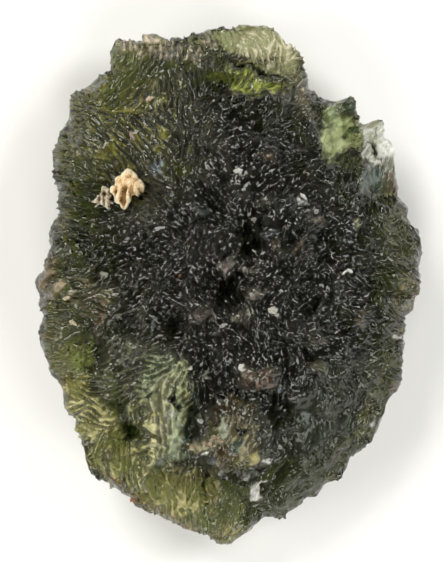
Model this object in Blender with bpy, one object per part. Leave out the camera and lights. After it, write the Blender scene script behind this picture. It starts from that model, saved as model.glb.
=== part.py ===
"""Raw moldavite: a flat, thick-waisted piece of natural green glass, etched into knobs, flutes and pits,
with two crumbs of dried sediment lodged in a hollow of its upper left side.

Metres, +Z up. The stone lies on a small worn facet of its back, and the origin is in the middle of its
footprint on the surface below. +Y runs along its length, towards the thin scalloped ledge.
Every size and place below is in millimetres and is turned to metres where the mesh is made.
"""

import math

import bmesh
import bpy
import numpy as np
from mathutils import Vector, noise

OBJECT_NAME = "raw_moldavite"
MM = 0.001

# Whole stone
SEED = 41
WAIST_THICKNESS = 12.2      # through the thickest part, before the back is worn flat
RIM_HEIGHT = 3.5            # the middle of the rim above the surface that the stone lies on
RIM_WAVE = 0.5              # the rim rises and falls by this much, twice on its way round
RIM_WAVE_TURN = 0.6         # radians that the wave is turned by
FRONT_SHARE = 0.61          # how much of the thickness is on the front of the rim's plane
BODY_THICKNESS = 6.6        # plate thickness away from every mound
EDGE_POWER = 3.6            # higher keeps the plate thick closer to its rim
EDGE_ROUNDNESS = 0.50       # lower is blunter
TRIANGLES = 9000            # the stone's, after its fine mesh is thinned out and before the back is worn flat
SPHERE_LEVELS = 7

# Rim, as X and Y pairs read clockwise from the upper left corner knob
RIM_TOP = (
    (-8.3, 15.7), (-8.1, 16.6), (-7.6, 17.0), (-7.1, 16.8), (-6.1, 16.9), (-5.7, 17.4), (-4.6, 17.4),
    (-4.2, 16.8), (-3.8, 16.9), (-3.5, 17.5), (-3.1, 16.7), (-2.6, 17.8), (-2.1, 17.1), (-1.4, 17.7),
    (-0.9, 17.7), (-0.6, 18.1), (-0.2, 17.6), (0.2, 17.5), (0.8, 18.0), (1.5, 17.7), (2.6, 18.1),
    (3.4, 17.5), (3.5, 17.1), (4.0, 16.6), (4.7, 16.4), (5.2, 15.7), (5.1, 15.1), (5.6, 14.1),
    (5.5, 13.6), (6.1, 13.4), (6.0, 12.8), (7.2, 12.4), (7.9, 12.9), (8.8, 13.1), (8.7, 12.2),
    (9.0, 11.6), (8.8, 11.0), (9.7, 11.1), (10.4, 11.4), (10.7, 11.0), (10.5, 10.3), (11.3, 9.7),
    (11.7, 8.9), (11.4, 8.3), (11.4, 7.4), (11.8, 6.7),
)
RIM_RIGHT = (
    (11.5, 6.1), (12.4, 5.2), (12.1, 4.8), (12.6, 4.1), (13.1, 3.8), (13.4, 3.1), (13.3, 2.0),
    (13.0, 1.3), (13.4, 0.3), (13.2, -0.5), (12.8, -0.9), (12.7, -1.7), (12.2, -2.1), (12.3, -2.9),
    (12.0, -3.4), (12.2, -3.9), (11.9, -5.5), (12.0, -6.2), (11.8, -7.2), (11.2, -7.7), (10.9, -8.3),
    (10.5, -9.7), (9.9, -10.7), (9.5, -11.4), (9.1, -11.9), (8.5, -11.8), (8.2, -12.8), (7.6, -13.6),
    (6.6, -13.7), (6.2, -14.8), (5.4, -14.6), (5.0, -15.4), (4.3, -15.9), (3.8, -16.4), (2.9, -16.1),
    (2.3, -16.3), (1.4, -17.1), (0.7, -17.7), (-0.2, -18.1),
)
RIM_LEFT = (
    (-0.6, -18.0), (-1.6, -17.3), (-2.7, -17.1), (-3.6, -16.6), (-4.7, -16.2), (-5.6, -15.7),
    (-6.6, -15.3), (-7.5, -14.2), (-8.4, -13.7), (-9.4, -13.1), (-9.8, -12.4), (-10.0, -11.3),
    (-10.6, -10.3), (-10.7, -9.8), (-10.4, -9.2), (-11.0, -8.9), (-11.5, -7.3), (-12.3, -6.1),
    (-12.7, -5.4), (-13.0, -4.2), (-13.2, -3.2), (-12.8, -2.2), (-13.1, -1.4), (-13.0, -0.7),
    (-13.4, -0.2), (-13.2, 0.6), (-12.7, 1.0), (-12.5, 1.9), (-12.2, 4.3), (-11.7, 4.7), (-11.9, 5.5),
    (-11.7, 6.5), (-12.1, 7.2), (-12.1, 9.3), (-11.9, 10.3), (-11.3, 11.1), (-11.0, 12.0), (-11.1, 12.8),
    (-10.8, 13.5), (-10.3, 13.3), (-9.7, 13.7), (-9.5, 14.2), (-8.0, 14.8),
)
SMOOTH_RIM_DEGREES = 9.0    # the spines and notches die out into an outline averaged this far each way
SPINE_REACH = 0.80          # and reach in to this share of the way from the middle

# Broad mounds of the front and back together, as X, Y, radius along X, radius along Y, added thickness
MOUNDS = (
    (2.9, 0.8, 6.6, 8.4, 4.3),
    (4.6, -5.4, 4.4, 3.4, 1.2),
    (-4.8, 8.4, 4.4, 5.0, 1.0),
    (1.4, 8.2, 6.4, 3.2, 1.2),
    (-7.6, -0.6, 2.6, 3.2, -0.9),
    (-8.6, -8.6, 4.2, 5.0, -2.0),
    (-3.6, -14.6, 4.0, 3.0, -1.8),
    (7.6, -12.0, 3.2, 2.8, -1.6),
    (3.0, -15.6, 3.6, 2.0, -1.6),
)

# Wafers, where the glass thins to a clear plate, as X, Y, radius along X, radius along Y, thickness
WAFERS = (
    (2.3, 16.9, 3.5, 1.9, 1.3),
    (1.7, 13.8, 2.7, 0.8, 2.0),
    (7.8, 9.9, 1.35, 1.6, 1.0),
    (10.7, 9.7, 1.6, 1.7, 0.7),
    (10.9, 6.9, 1.1, 1.3, 1.5),
    (-9.6, -4.9, 1.0, 1.7, 2.0),
    (-10.4, -7.2, 1.1, 0.9, 2.0),
    (-7.6, -11.4, 1.3, 1.6, 2.4),
    (-3.4, -14.2, 2.0, 1.2, 2.2),
    (-5.4, 17.2, 3.4, 0.9, 1.6),
)

# Rounded bosses of the front, as X, Y, radius, height
BOSSES = (
    (4.1, 3.9, 2.4, 1.1),
    (0.7, -10.3, 2.9, 1.3),
    (3.2, 1.2, 1.5, 0.6),
    (8.4, 6.0, 1.2, 0.5),
    (-4.6, 3.0, 1.3, 0.5),
    (-6.2, -6.6, 1.2, 0.4),
    (9.2, -6.6, 1.1, 0.4),
    (-1.8, -2.1, 0.9, 0.6),
    (-0.2, 1.0, 0.8, 0.5),
    (6.1, -5.4, 0.7, 0.5),
    (2.0, -5.9, 1.4, 0.6),
    (8.7, -2.6, 0.7, 0.4),
    (-2.0, 5.2, 1.1, 0.6),
    (-7.6, 16.0, 0.8, 0.5),
    (-5.2, 16.9, 0.7, 0.4),
    (2.6, 8.6, 1.2, 0.6),
    (6.0, 10.3, 1.0, 0.5),
)

# The groove round the foot of each boss, in shares of the boss's height and radius
BOSS_GROOVE_DEPTH = 0.30
BOSS_GROOVE_RADIUS = 1.15
BOSS_GROOVE_WIDTH = 0.20

# Pits of the front, as X, Y, radius, depth
PITS = (
    (0.3, -0.3, 0.9, 0.9),
    (-3.7, -2.6, 0.9, 0.8),
    (-6.9, -10.1, 0.9, 0.8),
    (-7.6, 6.3, 2.5, 1.0),
    (1.4, 3.1, 1.0, 0.7),
    (6.6, 2.2, 0.9, 0.6),
    (-1.2, 8.6, 0.9, 0.6),
    (3.2, -8.6, 1.1, 0.9),
    (-1.6, -7.2, 0.8, 0.7),
    (3.6, -12.2, 1.0, 0.6),
)

# Crests of the front, as start X, Y, end X, Y, half width, height. A negative height is a groove.
CRESTS = (
    (-0.6, 15.2, 4.9, 14.4, 0.35, -1.6),
    (-4.9, -8.7, -5.9, -14.1, 0.32, 0.7),
    (-8.1, -9.0, -8.0, -13.4, 0.45, 0.45),
    (-11.6, -0.2, -8.7, -3.1, 0.45, 0.4),
    (-5.4, -1.1, -8.7, -3.1, 0.45, 0.4),
    (-2.9, -7.4, -2.7, -11.6, 0.40, -0.7),
    (-1.5, -11.6, -3.2, -11.9, 0.30, -0.6),
    (9.6, 9.7, 10.9, 8.2, 0.18, -0.25),
    (6.0, 12.4, 6.9, 8.4, 0.40, -0.5),
    (3.0, -14.2, 8.1, -11.3, 0.40, 0.4),
    (3.6, -15.1, 7.4, -12.9, 0.35, 0.3),
    (4.6, 1.4, 2.2, -4.6, 0.50, 0.5),
    (-6.1, 12.4, -2.0, 7.4, 0.60, 0.5),
    (-10.6, 9.4, -5.6, 8.4, 0.50, 0.35),
    (-7.4, -3.4, -3.4, -6.2, 0.55, 0.45),
    (7.4, 6.4, 10.4, 3.4, 0.50, 0.4),
    (6.4, -1.4, 11.2, -1.8, 0.50, 0.4),
    (6.2, -8.2, 9.8, -7.4, 0.45, 0.35),
)

# Steps of the front, as a point on the edge, the downhill direction in degrees, half length, drop
STEPS = (
    (-3.4, -12.0, -92.0, 2.2, 0.9),
    (2.2, 15.0, 81.0, 3.4, 1.0),
)
STEP_BLUR = 0.25
STEP_REACH = 3.0

# Etched relief that covers the stone
LUMP_SIZE = 2.8
LUMP_HEIGHT = 0.60
KNOB_SIZE = 1.5
KNOB_HEIGHT = 0.30
FLUTES = 46                 # ribs that run out to the rim all the way round
FLUTE_HEIGHT = 0.22
FLUTE_START = 0.60          # share of the way from the middle to the rim
FLUTE_BEND = 2.0            # how far smooth noise shifts the ribs along the rim, in radians of their wave
FLUTE_BEND_SIZE = 1.8
STRAY_PITS = 54
STRAY_PIT_RADIUS = (0.45, 1.05)
STRAY_PIT_DEPTH = 0.50      # share of the pit's radius
STRAY_PIT_SPREAD = 0.92     # they reach out to this share of the way to the rim
WARP_SIZE = 2.2             # every feature is bent sideways by smooth noise of this size
WARP_REACH = 0.45
THIN_PLATE = 3.4            # relief is shallower where the plate is thinner than this
BACK_CALM = 0.7             # and on the back, by this factor

# Sediment crumbs, as X, Y, radius along X, radius along Y, thickness
TAN_CRUMB = (-6.95, 6.55, 1.25, 1.42, 1.15)
PALE_CRUMB = (-8.75, 5.95, 0.62, 0.80, 0.75)
CRUMB_GAP = 0.32            # to the glass below
CRUMB_EDGE = 0.05           # half the thickness of a crumb's thin outer edge
CRUMB_RAGGEDNESS = 0.30     # share of the radius by which smooth noise bends the outline
CRUMB_LOBES = 9
CRUMB_LOBE_HEIGHT = 0.05
CRUMB_BUMPS = 0.45          # share of the thickness by which smooth noise bends the top
CRUMB_LEVELS = 4
CRUMB_TRIANGLES = 340


def clear_scene():
    for old in list(bpy.data.objects):
        bpy.data.objects.remove(old, do_unlink=True)
    for old in list(bpy.data.collections):
        bpy.data.collections.remove(old)


def smoothstep(low, high, value):
    t = np.clip((value - low) / (high - low), 0.0, 1.0)
    return t * t * (3.0 - 2.0 * t)


def noise_at(points, size, offset):
    """Smooth noise between about -1 and 1, with features of the given size."""
    shift = Vector((offset * 17.3, offset * 5.1, offset * 9.7))
    return np.array([noise.noise(Vector(p) / size + shift) for p in points])


def cells_at(points, size, offset):
    """Rounded cobbles between 0 at their joints and 1 on top."""
    shift = Vector((offset * 11.9, offset * 7.7, offset * 3.3))
    heights = []
    for p in points:
        near = noise.voronoi(Vector(p) / size + shift)[0]
        heights.append(near[1] - near[0])
    return smoothstep(0.0, 0.7, np.array(heights))


def rim_table():
    """The rim as rising angles and the distance from the middle at each."""
    x, y = np.array(RIM_TOP + RIM_RIGHT + RIM_LEFT).T
    angle = np.arctan2(y, x)
    order = np.argsort(angle)
    return angle[order], np.hypot(x, y)[order]


def rim_radius(angle):
    return np.interp(angle, *rim_table(), period=2.0 * math.pi)


def smooth_rim_radius(angle):
    """The rim without its spines: the mean of the true rim over a short arc each way."""
    reach = math.radians(SMOOTH_RIM_DEGREES)
    steps = np.linspace(-reach, reach, 13)
    return np.mean([rim_radius(angle + step) for step in steps], axis=0)


def bump(x, y, centre_x, centre_y, radius_x, radius_y):
    """A soft hill, 1 at its centre."""
    return np.exp(-((x - centre_x) / radius_x) ** 2 - ((y - centre_y) / radius_y) ** 2)


def plateau(x, y, centre_x, centre_y, radius_x, radius_y):
    """A flat-topped area, 1 inside and 0 outside, with a soft border."""
    distance = np.hypot((x - centre_x) / radius_x, (y - centre_y) / radius_y)
    return 1.0 - smoothstep(0.55, 1.45, distance)


def crest(x, y, start_x, start_y, end_x, end_y, half_width):
    """A ridge along a straight line, 1 on its line and tapered at both ends."""
    along_x, along_y = end_x - start_x, end_y - start_y
    length = math.hypot(along_x, along_y)
    share = ((x - start_x) * along_x + (y - start_y) * along_y) / length**2
    nearest = np.clip(share, 0.0, 1.0)
    distance = np.hypot(x - start_x - nearest * along_x, y - start_y - nearest * along_y)
    taper = 0.6 + 0.4 * np.sin(math.pi * nearest)
    return taper * np.exp(-((distance / half_width) ** 2))


def step_down(x, y, edge_x, edge_y, downhill_degrees, half_length):
    """A low cliff: 1 just past its edge, dying out downhill and at its ends."""
    downhill = math.radians(downhill_degrees)
    across = (x - edge_x) * math.cos(downhill) + (y - edge_y) * math.sin(downhill)
    along = (y - edge_y) * math.cos(downhill) - (x - edge_x) * math.sin(downhill)
    past = smoothstep(-STEP_BLUR, STEP_BLUR, across) * (1.0 - smoothstep(0.4 * STEP_REACH, STEP_REACH, across))
    return past * (1.0 - smoothstep(0.7 * half_length, 1.3 * half_length, np.abs(along)))


def plate_thickness(x, y, share):
    """Thickness of the glass, where share is the way from the middle to the rim."""
    waist = BODY_THICKNESS + sum(
        added * bump(x, y, cx, cy, rx, ry) for cx, cy, rx, ry, added in MOUNDS
    )
    thickness = np.minimum(waist, WAIST_THICKNESS) * (1.0 - share**EDGE_POWER) ** EDGE_ROUNDNESS
    for cx, cy, rx, ry, thin in WAFERS:
        inside = plateau(x, y, cx, cy, rx, ry)
        thickness += inside * (np.minimum(thickness, thin) - thickness)
    return thickness


def front_features(x, y):
    """Height of the named bosses, pits, crests and steps of the front."""
    height = np.zeros_like(x)
    for cx, cy, radius, tall in BOSSES:
        distance = np.hypot(x - cx, y - cy) / radius
        height += tall * np.clip(1.0 - distance**2, 0.0, None) ** 0.7
        groove = np.exp(-(((distance - BOSS_GROOVE_RADIUS) / BOSS_GROOVE_WIDTH) ** 2))
        height -= BOSS_GROOVE_DEPTH * tall * groove
    for cx, cy, radius, depth in PITS:
        height -= depth * plateau(x, y, cx, cy, radius, radius)
    for *line, tall in CRESTS:
        height += tall * crest(x, y, *line)
    for *edge, drop in STEPS:
        height -= drop * step_down(x, y, *edge)
    return height


def etched_relief(x, y, share, angle, side):
    """Lumps, knobs, ribs and stray pits, with different ones for each side of the stone."""
    points = np.column_stack((x, y, np.full_like(x, 30.0 * side)))
    relief = LUMP_HEIGHT * noise_at(points, LUMP_SIZE, 1.0)
    relief += KNOB_HEIGHT * (cells_at(points, KNOB_SIZE, 2.0) - 0.5)
    ribs = np.sin(FLUTES * angle + FLUTE_BEND * noise_at(points, FLUTE_BEND_SIZE, 4.0))
    relief += FLUTE_HEIGHT * ribs * smoothstep(FLUTE_START, 0.9, share)
    random = np.random.default_rng(SEED + side)
    for _ in range(STRAY_PITS):
        turn = random.uniform(-math.pi, math.pi)
        out = STRAY_PIT_SPREAD * math.sqrt(random.uniform()) * float(rim_radius(turn))
        radius = random.uniform(*STRAY_PIT_RADIUS)
        distance = np.hypot(x - out * math.cos(turn), y - out * math.sin(turn)) / radius
        relief -= STRAY_PIT_DEPTH * radius * np.clip(1.0 - distance**2, 0.0, None)
    return relief


def glass_surface(x, y, share, angle, front):
    """Height of the front or the back of the glass above the surface that the stone lies on."""
    thickness = plate_thickness(x, y, share)
    calm = np.clip(thickness / THIN_PLATE, 0.0, 1.0)
    middle = RIM_HEIGHT + RIM_WAVE * np.sin(2.0 * angle + RIM_WAVE_TURN) * share**2
    points = np.column_stack((x, y, np.zeros_like(x)))
    x = x + WARP_REACH * noise_at(points, WARP_SIZE, 5.0)
    y = y + WARP_REACH * noise_at(points, WARP_SIZE, 6.0)
    if front:
        relief = front_features(x, y) + etched_relief(x, y, share, angle, 1)
        return middle + FRONT_SHARE * thickness + calm * relief
    relief = etched_relief(x, y, share, angle, 2)
    return middle - (1.0 - FRONT_SHARE) * thickness + BACK_CALM * calm * relief


def sphere_object(name, levels, collection):
    """A unit sphere of even triangles in an object of its own, with its points as an array."""
    mesh = bpy.data.meshes.new(name)
    shape = bmesh.new()
    bmesh.ops.create_icosphere(shape, subdivisions=levels, radius=1.0)
    shape.to_mesh(mesh)
    shape.free()
    item = bpy.data.objects.new(name, mesh)
    collection.objects.link(item)
    return item, np.array([vertex.co[:] for vertex in mesh.vertices])


def set_points(item, points_mm):
    item.data.vertices.foreach_set("co", (points_mm * MM).astype(np.float32).ravel())
    item.data.update()


def thin_out(item, triangles):
    """Thins the even fine mesh to a faceted one that keeps its triangles for the sharp places."""
    modifier = item.modifiers.new("Thin out", "DECIMATE")
    modifier.ratio = triangles / len(item.data.polygons)
    evaluated = item.evaluated_get(bpy.context.evaluated_depsgraph_get())
    fine, item.data = item.data, bpy.data.meshes.new_from_object(evaluated)
    item.modifiers.clear()
    bpy.data.meshes.remove(fine)


def wear_flat(item):
    """Cuts away what is below the surface that the stone lies on, and closes the cut with one flat face."""
    shape = bmesh.new()
    shape.from_mesh(item.data)
    everything = shape.verts[:] + shape.edges[:] + shape.faces[:]
    cut = bmesh.ops.bisect_plane(
        shape, geom=everything, plane_co=(0, 0, 0), plane_no=(0, 0, -1), clear_outer=True
    )
    border = [edge for edge in cut["geom_cut"] if isinstance(edge, bmesh.types.BMEdge)]
    bmesh.ops.triangle_fill(shape, edges=border, use_beauty=True, normal=(0, 0, -1))
    bmesh.ops.recalc_face_normals(shape, faces=shape.faces)
    shape.to_mesh(item.data)
    shape.free()


def add_material(item, name, colour, roughness):
    material = bpy.data.materials.new(name)
    material.use_nodes = True
    shader = material.node_tree.nodes["Principled BSDF"]
    shader.inputs["Base Color"].default_value = (*colour, 1.0)
    shader.inputs["Roughness"].default_value = roughness
    shader.inputs["Metallic"].default_value = 0.0
    item.data.materials.append(material)
    return shader


def make_glass(collection):
    """The stone: a sphere whose two halves are spread into the front and the back of the plate."""
    stone, ball = sphere_object("moldavite", SPHERE_LEVELS, collection)
    angle = np.arctan2(ball[:, 1], ball[:, 0])
    tilt = np.arccos(np.clip(np.abs(ball[:, 2]), 0.0, 1.0))
    spread = math.sqrt(2.0) * np.sin(tilt / 2.0)
    share = np.sin(spread * math.pi / 2.0)
    spiny = smoothstep(SPINE_REACH, 1.0, share)
    radius = smooth_rim_radius(angle) + spiny * (rim_radius(angle) - smooth_rim_radius(angle))
    x, y = share * radius * np.cos(angle), share * radius * np.sin(angle)
    front = ball[:, 2] > 0.0
    z = np.empty_like(x)
    for is_front in (True, False):
        half = front == is_front
        z[half] = glass_surface(x[half], y[half], share[half], angle[half], is_front)
    set_points(stone, np.column_stack((x, y, z)))
    thin_out(stone, TRIANGLES)
    wear_flat(stone)
    shader = add_material(stone, "Etched olive natural glass", (0.055, 0.075, 0.025), 0.28)
    shader.inputs["IOR"].default_value = 1.49
    shader.inputs["Transmission Weight"].default_value = 0.85
    return stone


def front_height(x, y):
    """Height of the front of the glass at any place on it."""
    angle = np.arctan2(y, x)
    share = np.clip(np.hypot(x, y) / smooth_rim_radius(angle), 0.0, 0.999)
    return glass_surface(x, y, share, angle, True)


def make_crumb(name, crumb, seed, colour, collection):
    """A ragged crumb whose underside follows the hollow that it lies in."""
    centre_x, centre_y, radius_x, radius_y, tall = crumb
    item, ball = sphere_object(name, CRUMB_LEVELS, collection)
    angle = np.arctan2(ball[:, 1], ball[:, 0])
    lobes = CRUMB_LOBE_HEIGHT * np.sin(CRUMB_LOBES * angle + seed)
    ragged = 1.0 + CRUMB_RAGGEDNESS * noise_at(ball, 0.55, seed) + lobes
    x = centre_x + radius_x * ragged * ball[:, 0]
    y = centre_y + radius_y * ragged * ball[:, 1]
    floor = front_height(x, y) + CRUMB_GAP
    bumpy = 1.0 + CRUMB_BUMPS * noise_at(ball, 0.40, seed + 5.0)
    rise = tall * bumpy * smoothstep(-0.15, 0.75, ball[:, 2])
    set_points(item, np.column_stack((x, y, floor + CRUMB_EDGE * (ball[:, 2] + 1.0) + rise)))
    thin_out(item, CRUMB_TRIANGLES)
    add_material(item, name.replace("_", " ").capitalize() + " of dried sediment", colour, 0.9)
    return item


def make_raw_moldavite():
    clear_scene()
    collection = bpy.data.collections.new(OBJECT_NAME)
    bpy.context.scene.collection.children.link(collection)
    make_glass(collection)
    make_crumb("tan_crumb", TAN_CRUMB, 1.0, (0.52, 0.36, 0.17), collection)
    make_crumb("pale_crumb", PALE_CRUMB, 2.0, (0.60, 0.52, 0.42), collection)


if __name__ == "__main__":
    make_raw_moldavite()
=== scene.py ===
"""Raw moldavite on a pale floor: etched natural glass with crumbs and chips of sediment stuck to it."""

import math

import bmesh
import bpy
import numpy as np
from bpy.props import FloatProperty, FloatVectorProperty, PointerProperty
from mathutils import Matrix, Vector, noise
from mathutils.bvhtree import BVHTree


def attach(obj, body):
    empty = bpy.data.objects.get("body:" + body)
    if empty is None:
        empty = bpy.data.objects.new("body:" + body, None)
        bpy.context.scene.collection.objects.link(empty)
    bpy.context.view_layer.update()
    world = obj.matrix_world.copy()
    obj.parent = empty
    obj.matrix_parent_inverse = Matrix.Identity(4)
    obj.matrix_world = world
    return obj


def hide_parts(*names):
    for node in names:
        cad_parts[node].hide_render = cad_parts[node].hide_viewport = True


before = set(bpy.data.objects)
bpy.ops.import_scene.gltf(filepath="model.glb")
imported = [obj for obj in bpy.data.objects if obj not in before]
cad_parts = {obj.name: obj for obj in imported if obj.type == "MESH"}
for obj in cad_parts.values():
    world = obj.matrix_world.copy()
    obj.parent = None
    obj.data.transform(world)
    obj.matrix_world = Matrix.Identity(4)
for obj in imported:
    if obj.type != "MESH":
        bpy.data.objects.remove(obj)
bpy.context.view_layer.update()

bl_info = {
    "name": "Raw Moldavite",
    "version": (1, 0, 0),
    "blender": (4, 5, 0),
    "location": "View3D > Sidebar > Moldavite",
    "description": "Dresses a packed moldavite in etched natural glass and sediment crumbs",
    "category": "Object",
}

MM = 0.001

# Triangles of the dressed stone
STONE_TRIANGLES = 196000

# The photograph's frame, and the size of one of its pixels on the stone
PHOTO_WIDTH = 444
PHOTO_HEIGHT = 562
PHOTO_PIXEL = 0.0692 * MM
STONE_MIDDLE_PIXEL = (228.5, 284.5)

# How the ridges run on the front: X and Y in millimetres from the stone's middle, and the direction in
# degrees counterclockwise from +X
FRONT_FLOW = (
    (-11.7, -1.0, 0), (-11.4, 3.8, 8), (-10.6, 7.5, -24), (-9.8, 12.0, -28), (-7.0, 13.2, 40),
    (-5.0, 15.6, 96), (-2.0, 16.4, 84), (2.4, 16.4, 100), (5.0, 14.0, 40), (-9.0, 9.2, -30),
    (-6.0, 9.6, -38), (-6.8, 2.4, 26), (-9.8, 2.2, 16), (-9.6, -5.0, 66), (-9.2, -7.4, 4),
    (-6.6, -6.2, 8), (-4.3, -8.2, 88), (-5.7, -13.0, 84), (-2.0, -14.4, 92), (1.2, -16.2, 60),
    (5.0, -12.9, 32), (7.0, -9.4, 66), (4.6, -6.8, 94), (10.1, -1.2, -6), (10.4, -4.6, -12),
    (8.0, -7.2, -52), (11.9, 2.2, -24), (7.6, -3.8, 2), (2.9, 7.6, 30), (-3.5, 10.4, -62),
    (-2.6, 10.6, 80), (1.6, -2.2, -58), (4.6, 0.6, 50), (-1.6, 5.8, -50), (0.4, 11.6, 20),
    (9.6, -11.0, 52), (6.4, -11.4, 42), (3.6, -13.4, 34), (8.6, -8.8, 56), (10.6, 7.2, 70),
    (-8.0, -12.4, 88), (-11.4, -6.0, -12), (2.0, 3.0, 75),
)

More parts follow.
